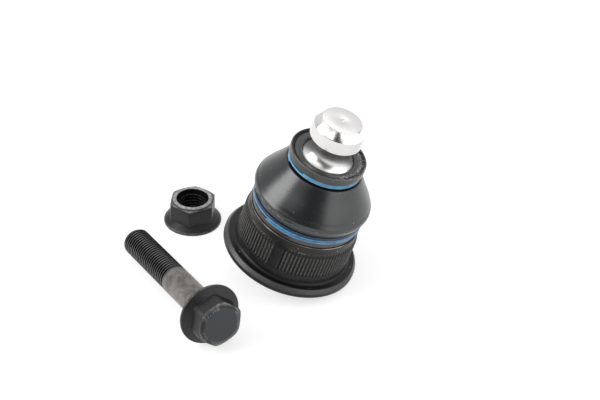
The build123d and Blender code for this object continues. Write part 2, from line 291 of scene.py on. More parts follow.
class Shader(Nodes):
    # one material on a Principled surface, with its own millimetre coordinates along a piece's axis
    def __init__(self, name, place, **fixed):
        self.material = bpy.data.materials.new(name)
        self.material.use_nodes = True
        super().__init__(self.material.node_tree)
        self.surface = self.tree.nodes["Principled BSDF"]
        for key, value in fixed.items():
            self.surface.inputs[key].default_value = value
        frameOfPiece = {
            "Vector": self.node("TexCoord", out="Object"),
            "Location": place.translation,
            "Rotation": place.to_3x3().normalized().to_euler(),
            "Scale": (millimetre, millimetre, millimetre),
        }
        self.local = self.node("Mapping", {"vector_type": "TEXTURE"}, frameOfPiece)
        self.x, self.y, self.z = (self.node("SeparateXYZ", None, {0: self.local}, axis) for axis in "XYZ")
        self.radius = (self.x * self.x + self.y * self.y) ** 0.5
        self.angle = self.node("Math", {"operation": "ARCTAN2"}, {0: self.y, 1: self.x})

    def noise(self, scale, detail=3, roughness=0.5):
        # scale is in patches per millimetre
        values = {"Vector": self.local, "Scale": scale, "Detail": detail, "Roughness": roughness}
        return self.node("TexNoise", None, values)

    def patches(self, low, high, scale, detail=3, roughness=0.5):
        # 1 in patches of the noise, which begin at low and are full at high
        return self.step(self.noise(scale, detail, roughness), low, high)

    def ringNoise(self, alongScale, aroundScale, detail=2):
        # noise on the turned surface: fine across the height, long round the axis
        places = {0: self.z * alongScale, 1: self.radius * alongScale, 2: self.angle * aroundScale}
        vector = self.node("CombineXYZ", None, places)
        return self.node("TexNoise", None, {"Vector": vector, "Scale": 1.0, "Detail": detail})

    def band(self, value, low, high, soft):
        return self.step(value, low - soft, low + soft) * (1 - self.step(value, high - soft, high + soft))

    def mix(self, factor, first, second):
        first, second = (color if isinstance(color, Value) else (*color, 1) for color in (first, second))
        return self.node("Mix", {"data_type": "RGBA"}, {0: factor, 6: first, 7: second}, 2)

    def finish(self, color, roughness, height, bumpSize, **others):
        # a bump's size is its strength and how high it stands, in metres
        strength, distance = bumpSize
        for key, value in {"Base Color": color, "Roughness": roughness, **others}.items():
            self.feed(self.surface.inputs[key], value)
        bump = self.node("Bump", None, {"Height": height, "Strength": strength, "Distance": distance})
        self.feed(self.surface.inputs["Normal"], bump)
        return self.material


studValues = {
    "ballRadius": 13.0,
    "ballHeight": placeHeights["ball"],
    "neckRadius": 7.2,
    "flareFoot": 27.0,
    "flareTop": 33.6,
    "pinRadius": 9.0,
    "grooveFoot": 43.8,
    "grooveTop": 51.9,
    "grooveDepth": 2.0,
    "bandTop": 56.7,
    "endRadius": 6.8,
    "endHeight": 59.5,
    "edge": 0.3,
    "dimple": 0.88,
    "dimpleEdge": 0.1,
    "ballSteps": 40,
    "flareSteps": 12,
    "grooveSteps": 24,
    "steps": 192,
    "stepAngle": 15,
    "smoothAngle": 35,
    "dullSteel": (0.70, 0.69, 0.685),
    "brightSteel": (0.80, 0.795, 0.79),
    "dullBand": (0.66, 0.645, 0.64),
    "brightBand": (0.71, 0.695, 0.69),
    "dullEnd": (0.86, 0.845, 0.84),
    "brightEnd": (0.92, 0.905, 0.90),
    "spots": (0.30, 0.29, 0.28),
    "roughness": 0.25,
    "unevenness": 0.05,
    "endPolish": 0.11,  # how much less rough the pin's end is
    "bump": (0.05, 0.00001),
}


def makeStud(s):
    neckDrop = math.degrees(math.asin(s["neckRadius"] / s["ballRadius"]))
    ball = arcCorners((0, s["ballHeight"]), s["ballRadius"], 180, neckDrop, s["ballSteps"])
    flare = []
    for step in range(s["flareSteps"] + 1):
        share = step / s["flareSteps"]
        ease = share * share * (3 - 2 * share)
        radius = s["neckRadius"] + (s["pinRadius"] - s["neckRadius"]) * ease
        flare.append((radius, s["flareFoot"] + (s["flareTop"] - s["flareFoot"]) * share))
    halfGroove = (s["grooveTop"] - s["grooveFoot"]) / 2
    grooveRadius = (halfGroove**2 + s["grooveDepth"] ** 2) / (2 * s["grooveDepth"])
    reach = math.degrees(math.asin(halfGroove / grooveRadius))
    centre = (s["pinRadius"] - s["grooveDepth"] + grooveRadius, (s["grooveTop"] + s["grooveFoot"]) / 2)
    groove = arcCorners(centre, grooveRadius, 270 - reach, 270 + reach, s["grooveSteps"])
    groove[0] = (*groove[0], s["edge"])
    groove[-1] = (*groove[-1], s["edge"])
    end = [
        (s["pinRadius"], s["bandTop"], s["edge"] * 2),
        (s["endRadius"], s["endHeight"], s["edge"] * 2),
        (s["dimple"], s["endHeight"], s["dimpleEdge"]),
        (0, s["endHeight"] - s["dimple"]),
    ]
    return turned("stud_polished", [*ball, *flare, *groove, *end], s["steps"], s["stepAngle"])


def studMaterial(s):
    shader = Shader("polishedStud", jointPlace, Metallic=1.0)
    lines = shader.ringNoise(7, 1.2)
    broad = shader.noise(0.22, 2)
    spots = shader.patches(0.70, 0.74, 1.9, 1)
    onBand = shader.step(shader.z, s["grooveTop"] - 0.4, s["grooveTop"] + 0.3)
    onEnd = shader.step(shader.z, s["bandTop"] - 0.1, s["bandTop"] + 0.2)
    color = shader.mix(broad, s["dullSteel"], s["brightSteel"])
    color = shader.mix(onBand, color, shader.mix(broad, s["dullBand"], s["brightBand"]))
    color = shader.mix(onEnd, color, shader.mix(broad, s["dullEnd"], s["brightEnd"]))
    color = shader.mix(spots * 0.5, color, s["spots"])
    rough = s["roughness"] + (lines + broad) * s["unevenness"] - onBand * s["endPolish"]
    return shader.finish(color, rough, lines, s["bump"])


stud = makeStud(studValues)
studSteel = studMaterial(studValues)
finishPiece(stud, jointPlace, "stud", studSteel, "ball_stud", studValues["smoothAngle"])
print("stage: stud made")

housingValues = {
    "flangeRadius": 23.7,
    "flangeTop": 3.4,
    "bevelFoot": 2.0,
    "bevel": 1.0,
    "footBreak": 0.7,
    "seatRadius": 20.15,
    "rootFillet": 1.1,
    "seatTop": 6.7,
    "knurlRadius": 20.1,
    "knurlTop": 15.4,
    "knurlDepth": 0.42,
    "knurlCount": 100,
    "knurlSteps": 8,
    "gapAngle": -96.0,  # degrees round to the blank stretch
    "gapCount": 3,
    "collarFoot": 16.5,
    "collarTop": 19.35,
    "collarRadius": 19.4,
    "grooveRadius": 16.9,
    "grooveTop": 22.75,
    "mouthLip": 17.5,
    "top": 24.25,
    "crimpRadius": 15.7,
    "coverSeat": 17.35,
    "coverSeatTop": 2.35,
    "crimp": 0.8,
    "cavityRadius": 16.0,
    "shoulder": 17.5,
    "shoulderCone": 1.8,
    "mouthFoot": 11.3,
    "mouthTop": 14.45,
    "edge": 0.15,
    "softEdge": 0.35,
    "crimpRound": 0.2,
    "footRound": 0.4,
    "rimRound": 0.5,
    "mouthRound": 0.3,
    "knurlLead": 0.25,  # the small cone below the knurl
    "knurlPower": 1.5,  # how sharp a groove is at its root
    "runOut": (0.1, 0.2, 0.3),  # the last corner below the collar: out, down, rounding
    "collarRound": 0.1,
    "collarWaist": 0.08,
    "collarLip": (0.3, 0.05),  # in at the top, and out below it
    "stepAngle": 18,
    "smoothAngle": 40,
    "darkSteel": (0.0065, 0.0064, 0.0068),
    "paleSteel": (0.014, 0.0137, 0.0138),
    "crest": (0.14, 0.137, 0.130),
    "soot": (0.003, 0.003, 0.003),
    "brownOil": (0.028, 0.023, 0.019),
    "worn": (0.40, 0.37, 0.32),
    "runIn": (0.33, 0.30, 0.24),
    "rim": (0.10, 0.10, 0.10),
    "fillet": (0.05, 0.048, 0.046),
    "specks": (0.42, 0.40, 0.36),
    "roughness": 0.28,
    "metallic": 0.2,
    "sheen": 0.35,
    "bump": (0.25, 0.00006),
}


def makeHousing(s):
    collarMiddle = (s["collarFoot"] + s["collarTop"]) / 2
    runOut, runDrop, runRound = s["runOut"]
    lipIn, lipOut = s["collarLip"]
    corners = [
        (s["crimpRadius"], 0, s["crimpRound"]),
        (s["flangeRadius"] - s["footBreak"], 0, s["footRound"]),
        (s["flangeRadius"], s["footBreak"], s["footRound"]),
        (s["flangeRadius"], s["bevelFoot"], s["rimRound"]),
        (s["flangeRadius"] - s["bevel"], s["flangeTop"], s["softEdge"]),
        (s["seatRadius"], s["flangeTop"], s["rootFillet"]),
        (s["seatRadius"], s["seatTop"], s["edge"]),
        (s["knurlRadius"], s["seatTop"] + s["knurlLead"]),
        (s["knurlRadius"], s["knurlTop"] - s["softEdge"]),
        (s["collarRadius"] + runOut, s["collarFoot"] - runDrop, runRound),
        (s["collarRadius"], s["collarFoot"], s["collarRound"]),
        (s["collarRadius"] - s["collarWaist"], collarMiddle),
        (s["collarRadius"] + lipOut, s["collarTop"] - s["softEdge"], s["collarRound"]),
        (s["collarRadius"] - lipIn, s["collarTop"], s["edge"]),
        (s["grooveRadius"], s["collarTop"]),
        (s["grooveRadius"], s["grooveTop"]),
        (s["mouthLip"], s["grooveTop"]),
        (s["mouthLip"], s["top"], s["mouthRound"]),
        (s["mouthTop"], s["top"]),
        (s["mouthFoot"], s["shoulder"]),
        (s["cavityRadius"] - s["shoulderCone"], s["shoulder"]),
        (s["cavityRadius"], s["shoulder"] - s["shoulderCone"]),
        (s["cavityRadius"], s["coverSeatTop"]),
        (s["coverSeat"], s["coverSeatTop"]),
        (s["coverSeat"], s["crimp"]),
        (s["crimpRadius"], s["crimp"], s["crimpRound"]),
    ]
    housing = turned("housing_knurled", corners, s["knurlCount"] * s["knurlSteps"], s["stepAngle"])
    rollKnurl(housing, s)
    return housing


def rollKnurl(housing, s):
    # the same vertex of every spline is drawn in together, one place in the spline after another
    spare = 0.05  # in height, on both sides of the knurl's vertices
    low = s["seatTop"] + s["knurlLead"] - spare
    high = s["knurlTop"] - s["softEdge"] + spare
    splineAngle = 360 / s["knurlCount"]
    halfCount = s["knurlCount"] / 2
    nearness = 0.001
    for place in range(1, s["knurlSteps"]):
        share = place / s["knurlSteps"]
        depth = s["knurlDepth"] * (0.5 - 0.5 * math.cos(math.tau * share)) ** s["knurlPower"]

        def inPlace(co):
            if not low < co.z < high or abs(math.hypot(co.x, co.y) - s["knurlRadius"]) > nearness:
                return False
            turn = (math.degrees(math.atan2(co.y, co.x)) - s["gapAngle"]) / splineAngle
            inGap = abs((turn + halfCount) % s["knurlCount"] - halfCount) < s["gapCount"] / 2
            return round(turn * s["knurlSteps"]) % s["knurlSteps"] == place and not inGap

        selectParts(housing, "VERT", inPlace)
        factor = 1 - depth / s["knurlRadius"]
        bpy.ops.transform.resize(value=(factor, factor, 1), center_override=(0, 0, 0))
        bpy.ops.object.mode_set(mode="OBJECT")


def housingMaterial(s):
    fixed = {"Metallic": s["metallic"], "Specular IOR Level": s["sheen"]}
    shader = Shader("darkHousingSteel", jointPlace, **fixed)
    z, radius = shader.z, shader.radius
    broad = shader.noise(0.12)
    fine = shader.noise(2.6, 4)
    lines = shader.ringNoise(6, 1.5)
    patchy = shader.step(shader.ringNoise(0.1, 2.2, 3), 0.42, 0.62)
    color = shader.mix(broad, s["darkSteel"], s["paleSteel"])
    # crests are bare and roots are black, and the blank stretch is plain
    inKnurl = shader.band(z, s["seatTop"] + 0.7, s["knurlTop"] + 0.2, 0.5)
    halfGap = s["gapCount"] * 180 / s["knurlCount"] + 0.2
    gapEnds = (math.radians(s["gapAngle"] + side * halfGap) for side in (-1, 1))
    blank = shader.band(shader.angle, *gapEnds, 0.008)
    crest = inKnurl * shader.step(radius, s["knurlRadius"] - 0.17, s["knurlRadius"] - 0.03)
    crest = crest * (1 - blank * 0.9)
    color = shader.mix(crest * (0.25 + shader.step(fine, 0.42, 0.68) * 0.75), color, s["crest"])
    root = inKnurl * (1 - shader.step(radius, s["knurlRadius"] - 0.44, s["knurlRadius"] - 0.26))
    color = shader.mix(root * 0.8, color, s["soot"])
    # the collar is oily, and its upper edge and the knurl's run-in are worn
    oily = shader.band(z, s["knurlTop"] + 0.2, s["collarTop"] - 0.05, 0.5) * shader.step(broad, 0.35, 0.65)
    color = shader.mix(oily * 0.5, color, s["brownOil"])
    worn = shader.band(z, s["collarTop"] - 0.21, s["collarTop"] + 0.05, 0.04)
    worn = worn * shader.step(radius, s["collarRadius"] - 0.35, s["collarRadius"] - 0.2)
    color = shader.mix(worn * (0.2 + patchy * 0.8), color, s["worn"])
    runIn = shader.band(z, s["collarFoot"] - 0.25, s["collarFoot"] + 0.1, 0.07) * shader.step(fine, 0.5, 0.62)
    color = shader.mix(runIn * patchy * 0.8, color, s["runIn"])
    # the flange: a lighter rim, partly rubbed wear and partly painted highlight, a black deck and a dusty fillet
    # painted highlight with wear: the rim is painted lighter in patches, standing in for the shine of its edge
    rim = shader.band(z, s["bevelFoot"], s["flangeTop"] - 0.05, 0.1)
    rim = rim * shader.step(radius, s["flangeRadius"] - 1.4, s["flangeRadius"] - 1.1)
    color = shader.mix(rim * (0.3 + fine * 0.6), color, s["rim"])
    deck = shader.band(z, s["flangeTop"] - 0.2, s["flangeTop"] + 1.2, 0.1)
    deck = deck * (1 - shader.step(radius, s["flangeRadius"] - 1.7, s["flangeRadius"] - 1.2))
    color = shader.mix(deck * 0.8, color, s["soot"])
    fillet = shader.band(z, s["flangeTop"] + 1.1, s["flangeTop"] + 2.5, 0.6)
    fillet = fillet * shader.patches(0.4, 0.7, 0.7, 3, 0.6)
    color = shader.mix(fillet * 0.4, color, s["fillet"])
    specks = shader.patches(0.72, 0.76, 1.3, 2, 0.6)
    color = shader.mix(specks * 0.8, color, s["specks"])
    rough = s["roughness"] + broad * 0.08 + fine * 0.10 + crest * 0.1
    return shader.finish(color, rough, fine * 0.6 + lines * 0.4, s["bump"])


housing = makeHousing(housingValues)
housingSteel = housingMaterial(housingValues)
finishPiece(
    housing, jointPlace, "housing", housingSteel, "housing", housingValues["smoothAngle"],
)
print("stage: housing made")

bootValues = {
    "tongue": (16.95, 22.7),  # inside the housing's groove
    "wallFoot": 17.55,
    "foot": 19.4,
    "beadRadius": 18.95,
    "ledge": 21.3,
    "seatRadius": 18.55,
    "shelf": 24.44,
    "shelfRadius": 19.3,
    "underBulge": [(19.85, 25.44, 0.8), (20.25, 26.55, 0.6), (20.44, 27.2, 0.15)],
    "seam": (20.51, 27.38, 0.08),
    "bulge": [(20.44, 27.56, 0.15), (20.44, 28.5, 1.6), (19.66, 29.65, 1.6), (19.3, 30.5, 2.5)],
    "cone": [(16.2, 35.1, 30), (14.25, 38.3, 6)],
    "ledgeCorner": 13.35,
    "upperLedge": 39.84,
    "upperSeat": 11.95,
    "upperShelf": 42.2,
    "lipRadius": 13.25,
    "lipTop": 44.95,
    "lipWidth": 0.5,
    "troughSide": 0.3,
    "troughFloor": 0.5,
    "troughDepth": 0.9,
    "deckDrop": 0.4,
    "bore": 9.1,
    "mouthCone": [(0.45, 0.42), (0, 0.95)],  # out from the bore, down from the lip
    "insideNeck": [(10.6, 37.8, 1.2), (12.1, 36.4, 2)],
    "insideBulge": [(17.2, 28.9, 3), (18.3, 27.4, 1.0), (17.9, 25.4, 0.6), (17.55, 24.4, 0.2)],
    "boreFoot": 38.1,
    "edge": 0.15,
    "smallRound": 0.2,
    "round": 0.3,
    "softRound": 0.35,
    "steps": 256,
    "stepAngle": 8,
    "smoothAngle": 40,
    "bendFoot": 24.5,
    "bendTop": 38.0,
    "darkRubber": (0.0045, 0.0062, 0.0074),
    "paleRubber": (0.0090, 0.0105, 0.0118),
    "dust": (0.030, 0.030, 0.031),
    "footGrime": (0.045, 0.033, 0.030),
    "seamScuff": (0.40, 0.40, 0.39),
    "deck": (0.018, 0.016, 0.018),
    "trough": (0.004, 0.004, 0.004),
    "lipEdgeHighlight": (0.10, 0.10, 0.10),
    "chalk": (0.46, 0.45, 0.45),
    "specks": (0.35, 0.35, 0.34),
    "roughness": 0.21,
    "sheen": 0.82,
    "bump": (0.18, 0.00007),
}


def makeBoot(s):
    lip, top, bore = s["lipRadius"], s["lipTop"], s["bore"]
    small, corner, soft = s["smallRound"], s["round"], s["softRound"]
    trough = top - s["troughDepth"]
    troughOut = lip - s["lipWidth"]
    troughIn = troughOut - s["troughSide"] - s["troughFloor"]
    corners = [
        (s["wallFoot"], s["tongue"][1]),
        s["tongue"],
        (s["tongue"][0], s["foot"]),
        (s["beadRadius"], s["foot"], soft),
        (s["beadRadius"], s["ledge"], s["edge"]),
        (s["seatRadius"], s["ledge"]),
        (s["seatRadius"], s["shelf"]),
        (s["shelfRadius"], s["shelf"], 0.25),
        *s["underBulge"],
        s["seam"],
        *s["bulge"],
        *s["cone"],
        (s["ledgeCorner"], s["upperLedge"], corner),
        (s["upperSeat"], s["upperLedge"]),
        (s["upperSeat"], s["upperShelf"]),
        (lip, s["upperShelf"], soft),
        (lip, top, corner),
        (troughOut, top, small),
        (troughOut - s["troughSide"], trough, small),
        (troughIn, trough, small),
        (troughIn - s["troughSide"], top - s["deckDrop"], small),
        *((bore + out, top - down, corner) for out, down in s["mouthCone"]),
        (bore, s["boreFoot"], 0.4),
        *s["insideNeck"],
        *s["insideBulge"],
    ]
    return turned("boot_rubber_shell", corners, s["steps"], s["stepAngle"])


def bootMaterial(s):
    shader = Shader("bootRubber", jointPlace, **{"Specular IOR Level": s["sheen"]})
    z, radius = shader.z, shader.radius
    lip, top = s["lipRadius"], s["lipTop"]
    broad = shader.noise(0.10)
    fine = shader.noise(2.2, 4)
    grain = shader.noise(6, 2)
    color = shader.mix(broad, s["darkRubber"], s["paleRubber"])
    color = shader.mix(shader.step(fine, 0.56, 0.80) * 0.4, color, s["dust"])
    grime = 1 - shader.step(z, s["shelf"] - 0.24, s["shelf"] + 1.96)
    color = shader.mix(grime * 0.6, color, s["footGrime"])
    seam = shader.band(z, s["seam"][1] - 0.1, s["seam"][1] + 0.1, 0.05)
    seam = seam * shader.step(shader.ringNoise(0.1, 9), 0.58, 0.66)
    color = shader.mix(seam * 0.8, color, s["seamScuff"])
    # the top: a dull deck, a trough painted black as painted shade and a painted highlight along the lip's outer
    # edge, with chalk on the right
    onTop = shader.step(z, top - 1.05, top - 0.85)
    deck = onTop * (1 - shader.step(radius, lip - 1.75, lip - 1.35))
    color = shader.mix(deck * 0.7, color, s["deck"])
    # painted shade: the trough inside the raised lip is painted near-black
    trough = onTop * shader.band(radius, lip - 1.45, lip - 0.55, 0.2)
    color = shader.mix(trough * 0.9, color, s["trough"])
    # painted highlight: a lighter line along the lip's outer edge
    edge = shader.step(z, top - 0.45, top - 0.15) * shader.step(radius, lip - 0.45, lip - 0.25)
    color = shader.mix(edge * 0.6, color, s["lipEdgeHighlight"])
    chalk = shader.patches(0.49, 0.62, 1.5, 4, 0.7) * shader.step(shader.x, 4.5, 9.0)
    nearEdge = onTop * shader.band(radius, lip - 2.65, lip - 0.15, 0.3)
    color = shader.mix(nearEdge * chalk * 0.9, color, s["chalk"])
    specks = shader.patches(0.775, 0.79, 1.1, 1)
    color = shader.mix(specks * 0.8, color, s["specks"])
    rough = s["roughness"] + broad * 0.07 + fine * 0.09 + trough * 0.4
    return shader.finish(color, rough, grain * 0.5 + fine * 0.6, s["bump"])


boot = makeBoot(bootValues)
bootRubber = bootMaterial(bootValues)
finishPiece(boot, jointPlace, None, bootRubber, "dust_boot", bootValues["smoothAngle"])
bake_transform(boot)
print("stage: boot made")

ringValues = {
    "lower": {
        "inner": 18.6,
        "foot": 21.35,
        "wall": 0.85,
        "wire": 0.92,
        "turns": 2.3,
        "lowEnd": -122.0,  # degrees round to the wire's lower end
        "hand": 1,
        "edge": 0.24,
        "pale": (0.10, 0.33, 0.56),
        "deep": (0.04, 0.19, 0.39),
        "shade": (23.0, 23.3),  # heights between which the painted shade of the boot's bulge darkens the ring
        "joint": 0.95,
    },
    "upper": {
        "inner": 12.0,
        "foot": 39.89,
        "wall": 0.8,
        "wire": 0.78,
        "turns": 1.9,
        "lowEnd": -148.0,
        "hand": -1,
        "edge": 0.10,
        # painted light: these blues are lighter than the lower ring's, for the light the upper ring catches from
        # above
        "pale": (0.16, 0.42, 0.62),
        "deep": (0.07, 0.28, 0.49),
        "shade": (42.3, 42.8),
        "joint": 0.25,
    },
    "gap": 0.04,
    "edgeSteps": 3,
    "stepsPerTurn": 120,
    "jointInk": (0.004, 0.015, 0.045),
    "paintedShadeNavy": (0.003, 0.018, 0.048),
    "streaks": (0.42, 0.55, 0.66),
    "roughness": 0.32,
    "coat": 0.3,
    "coatRoughness": 0.2,
    "bump": (0.2, 0.00003),
}


def makeRing(name, s):
    # flat wire: a rounded rectangle wound up by the screw modifier, with its cut ends closed
    clearSelection()
    width, height = s["wall"], s["wire"] - ringValues["gap"]
    bpy.ops.mesh.primitive_plane_add(size=1, rotation=(math.radians(90), 0, 0))
    ring = bpy.context.active_object
    ring.name = name
    bpy.ops.object.transform_apply(location=True, rotation=True, scale=True)
    bpy.ops.object.mode_set(mode="EDIT")
    bpy.ops.mesh.select_mode(type="VERT")
    bpy.ops.mesh.select_all(action="SELECT")
    bpy.ops.transform.resize(value=(width, 1, height))
    bpy.ops.transform.translate(value=(s["inner"] + width / 2, 0, s["foot"] + s["wire"] / 2))
    bpy.ops.mesh.bevel(offset=s["edge"], segments=ringValues["edgeSteps"], affect="VERTICES")
    bpy.ops.mesh.delete(type="ONLY_FACE")
    bpy.ops.object.mode_set(mode="OBJECT")
    steps = round(ringValues["stepsPerTurn"] * s["turns"])
    applyModifier(
        ring, "SCREW", angle=math.tau * s["turns"] * s["hand"], screw_offset=s["wire"] * s["turns"],
        steps=steps, render_steps=steps, axis="Z", use_merge_vertices=False,
    )
    makeActive(ring)
    bpy.ops.object.mode_set(mode="EDIT")
    bpy.ops.mesh.select_all(action="DESELECT")
    bpy.ops.mesh.select_non_manifold()
    bpy.ops.mesh.fill_holes(sides=0)
    endEditing()
    ring.rotation_euler = (0, 0, math.radians(s["lowEnd"]))
    bpy.ops.object.transform_apply(location=False, rotation=True, scale=False)
    return ring


def ringMaterial(name, s):
    shader = Shader(name, jointPlace, **{"Coat Roughness": ringValues["coatRoughness"]})
    broad = shader.noise(0.35, 2)
    fine = shader.ringNoise(6, 3, 3)
    color = shader.mix(shader.step(broad * 0.6 + fine * 0.4, 0.35, 0.65), s["deep"], s["pale"])
    # a dark line where turn meets turn
    along = (shader.angle - math.radians(s["lowEnd"])) * s["hand"] / math.tau
    turn = (shader.z - s["foot"]) / s["wire"] - along
    wholeTurns = 10  # keeps the number above nought
    level = shader.node("Math", {"operation": "FRACT"}, {0: turn + wholeTurns})
    joint = 1 - shader.band(level, 0.09, 0.91, 0.07)
    color = shader.mix(joint * s["joint"], color, ringValues["jointInk"])
    # painted shade: above these heights the ring is painted near-black navy and loses its coat, for the boot's
    # bulge above it
    under = shader.step(shader.z, *s["shade"])
    color = shader.mix(under * 0.92, color, ringValues["paintedShadeNavy"])
    streaks = shader.step(shader.ringNoise(4, 5), 0.66, 0.72)
    color = shader.mix(streaks * 0.5, color, ringValues["streaks"])
    rough = ringValues["roughness"] + fine * 0.14
    coat = ringValues["coat"] - under * ringValues["coat"]
    return shader.finish(color, rough, fine, ringValues["bump"], **{"Coat Weight": coat})


for level, body in (("lower", "housing"), ("upper", "collar")):
    ring = makeRing(level + "_ring_wire", ringValues[level])
    blue = ringMaterial(level + "RingBlue", ringValues[level])
    finishPiece(ring, jointPlace, body, blue, level + "_boot_ring")
print("stage: rings made")

fastener = {
    "acrossFlats": 15.0,
    "pitch": 1.25,
    "threadShape": [(1, 0), (1, 0.12), (0, 0.44), (0, 0.56), (1, 0.88), (1, 1)],  # shares of depth and pitch
    "threadSteps": 64,
    "threadSpare": 2,  # pitches that are cut away again at each end
    "flangeSteps": 96,
    "chamferSteps": 100,
    "cornerSteps": 6,
    "edge": 0.12,
    "edgeSteps": 2,
    "edgeAngle": 14,
    "hexagonFoot": 1.0,
    "overlap": 0.6,  # how far the flange reaches into the hexagon
    "flangeMeet": 0.1,  # how far inside the flats the flange's cone ends
    "meetRound": 0.6,
    "rimRound": 0.35,
    "footRound": 0.3,
    "faceRound": 0.5,
    "stepAngle": 15,
    "chamferStepAngle": 6,
    "smoothAngle": 30,
    "over": 1,  # how far a cutter stands out
    "metallic": 0.4,
    "darkCoat": (0.010, 0.010, 0.0115),
    "paleCoat": (0.021, 0.021, 0.023),
    "rubbed": (0.085, 0.083, 0.080),
    "recessBlack": (0.004, 0.004, 0.004),
    "flangeEdge": (0.14, 0.138, 0.135),
}


def makeThreadRod(name, radius, depth, low, high):
    # one pitch of the thread's outline wound up, then cut square at both ends
    pitch, spare = fastener["pitch"], fastener["threadSpare"]
    start = low - spare * pitch
    outline = [(radius - depth * inward, start + share * pitch) for inward, share in fastener["threadShape"]]
    rod = drawOutline(name, outline)
    bpy.ops.object.mode_set(mode="OBJECT")
    applyModifier(
        rod, "SCREW", angle=math.tau, screw_offset=pitch, axis="Z",
        iterations=math.ceil((high - low) / pitch) + 2 * spare,
        steps=fastener["threadSteps"], render_steps=fastener["threadSteps"],
        use_merge_vertices=True, merge_threshold=modelling["turnedWeld"],
    )
    makeActive(rod)
    bpy.ops.object.mode_set(mode="EDIT")
    weld(modelling["turnedWeld"])
    bpy.ops.mesh.bisect(plane_co=(0, 0, low), plane_no=(0, 0, 1), clear_inner=True, use_fill=True)
    bpy.ops.mesh.select_all(action="SELECT")
    bpy.ops.mesh.bisect(plane_co=(0, 0, high), plane_no=(0, 0, 1), clear_outer=True, use_fill=True)
    endEditing()
    return rod


def makeHexagon(name, s, height):
    # a rounded hexagonal prism, trimmed by a chamfering cone
    clearSelection()
    foot, over = fastener["hexagonFoot"], fastener["over"]
    corner = fastener["acrossFlats"] / 2 / math.cos(math.radians(30))
    bpy.ops.mesh.primitive_cylinder_add(
        vertices=6, radius=corner, depth=height - foot, location=(0, 0, (height + foot) / 2),
        rotation=(0, 0, math.radians(90)),
    )
    hexagon = bpy.context.active_object
    hexagon.name = name
    bpy.ops.object.transform_apply(location=True, rotation=True, scale=True)
    selectParts(hexagon, "EDGE", lambda start, end: abs(start.z - end.z) > height / 4)
    bpy.ops.mesh.bevel(offset=s["cornerRound"] * math.tan(math.radians(30)), segments=fastener["cornerSteps"])
    bpy.ops.object.mode_set(mode="OBJECT")
    drop = (corner - s["faceRadius"]) * math.tan(math.radians(s["chamferAngle"]))
    trimOutline = [
        (0, foot - over),
        (corner + over, foot - over),
        (corner, height - drop),
        (s["faceRadius"], height, fastener["faceRound"]),
        (0, height),
    ]
    trim = turned(name + "_trim", trimOutline, fastener["chamferSteps"], fastener["chamferStepAngle"])
    combine(hexagon, trim, "INTERSECT")
    applyModifier(
        hexagon, "BEVEL", width=fastener["edge"], segments=fastener["edgeSteps"],
        limit_method="ANGLE", angle_limit=math.radians(fastener["edgeAngle"]),
    )
    return hexagon


def fastenerShader(name, place):
    shader = Shader(name, place, Metallic=fastener["metallic"])
    broad = shader.noise(0.15)
    fine = shader.noise(2.4, 4)
    color = shader.mix(broad, fastener["darkCoat"], fastener["paleCoat"])
    color = shader.mix(shader.step(fine, 0.52, 0.78) * 0.5, color, fastener["rubbed"])
    return shader, color, broad, fine


boltValues = {
    "threadRadius": 4.93,
    "threadDepth": 0.76,
    "threadLap": 0.9,  # how far the thread reaches into the shank
    "shankRadius": 4.97,
    "shankFillet": 0.35,
    "shankRound": 0.25,
    "shankLength": 24.5,
    "length": 55.0,
    "pointDrop": 1.0,
    "pointCone": (9, 4),  # the cone's radius, and how far it is below the tip there
    "flangeRadius": 10.7,
    "flangeRim": 0.9,
    "flangeRise": 2.6,
    "headHeight": 8.8,
    "cornerRound": 2.6,
    "faceRadius": 5.95,
    "chamferAngle": 27.0,
    "paintedLightSide": (-0.8, -0.5, 0.35),  # painted highlight: the side that faces the left lamp, up and to the left as the bolt lies
    "darkSteel": (0.125, 0.115, 0.105),
    "paleSteel": (0.22, 0.206, 0.193),
    "darkSpots": (0.05, 0.043, 0.036),
    "brightSpots": (0.42, 0.40, 0.38),
    "crest": (0.21, 0.205, 0.20),
    "face": (0.056, 0.060, 0.066),
    "headEdge": (0.17, 0.166, 0.16),
    "scuffs": (0.36, 0.355, 0.35),
    "roughness": 0.32,
    "bump": (0.28, 0.00006),
}


def makeBolt(s):
    flats = fastener["acrossFlats"] / 2
    neck = -s["flangeRise"] - fastener["overlap"]
    stemOutline = [
        (0, neck),
        (flats - fastener["overlap"], neck),
        (flats - fastener["flangeMeet"], -s["flangeRise"], fastener["meetRound"]),
        (s["flangeRadius"], -s["flangeRim"], fastener["rimRound"]),
        (s["flangeRadius"], 0, fastener["footRound"]),
        (s["shankRadius"] + s["shankFillet"], 0),
        (s["shankRadius"], s["shankFillet"]),
        (s["shankRadius"], s["shankLength"], s["shankRound"]),
        (0, s["shankLength"]),
    ]
    stem = turned("pinch_bolt_body", stemOutline, fastener["flangeSteps"], fastener["stepAngle"])
    threadFoot = s["shankLength"] - s["threadLap"]
    rod = makeThreadRod("bolt_thread", s["threadRadius"], s["threadDepth"], threadFoot, s["length"])
    coneRadius, coneLength = s["pointCone"]
    pointOutline = [
        (0, 0),
        (coneRadius, 0),
        (coneRadius, s["length"] - coneLength),
        (s["threadRadius"] - s["pointDrop"], s["length"]),
        (0, s["length"]),
    ]
    combine(rod, turned("bolt_point", pointOutline, fastener["threadSteps"]), "INTERSECT")
    combine(stem, rod, "UNION")
    head = makeHexagon("bolt_head", s, s["headHeight"])
    makeActive(head)
    head.rotation_euler = (math.radians(180), 0, 0)
    bpy.ops.object.transform_apply(location=False, rotation=True, scale=False)
    combine(stem, head, "UNION")
    return stem


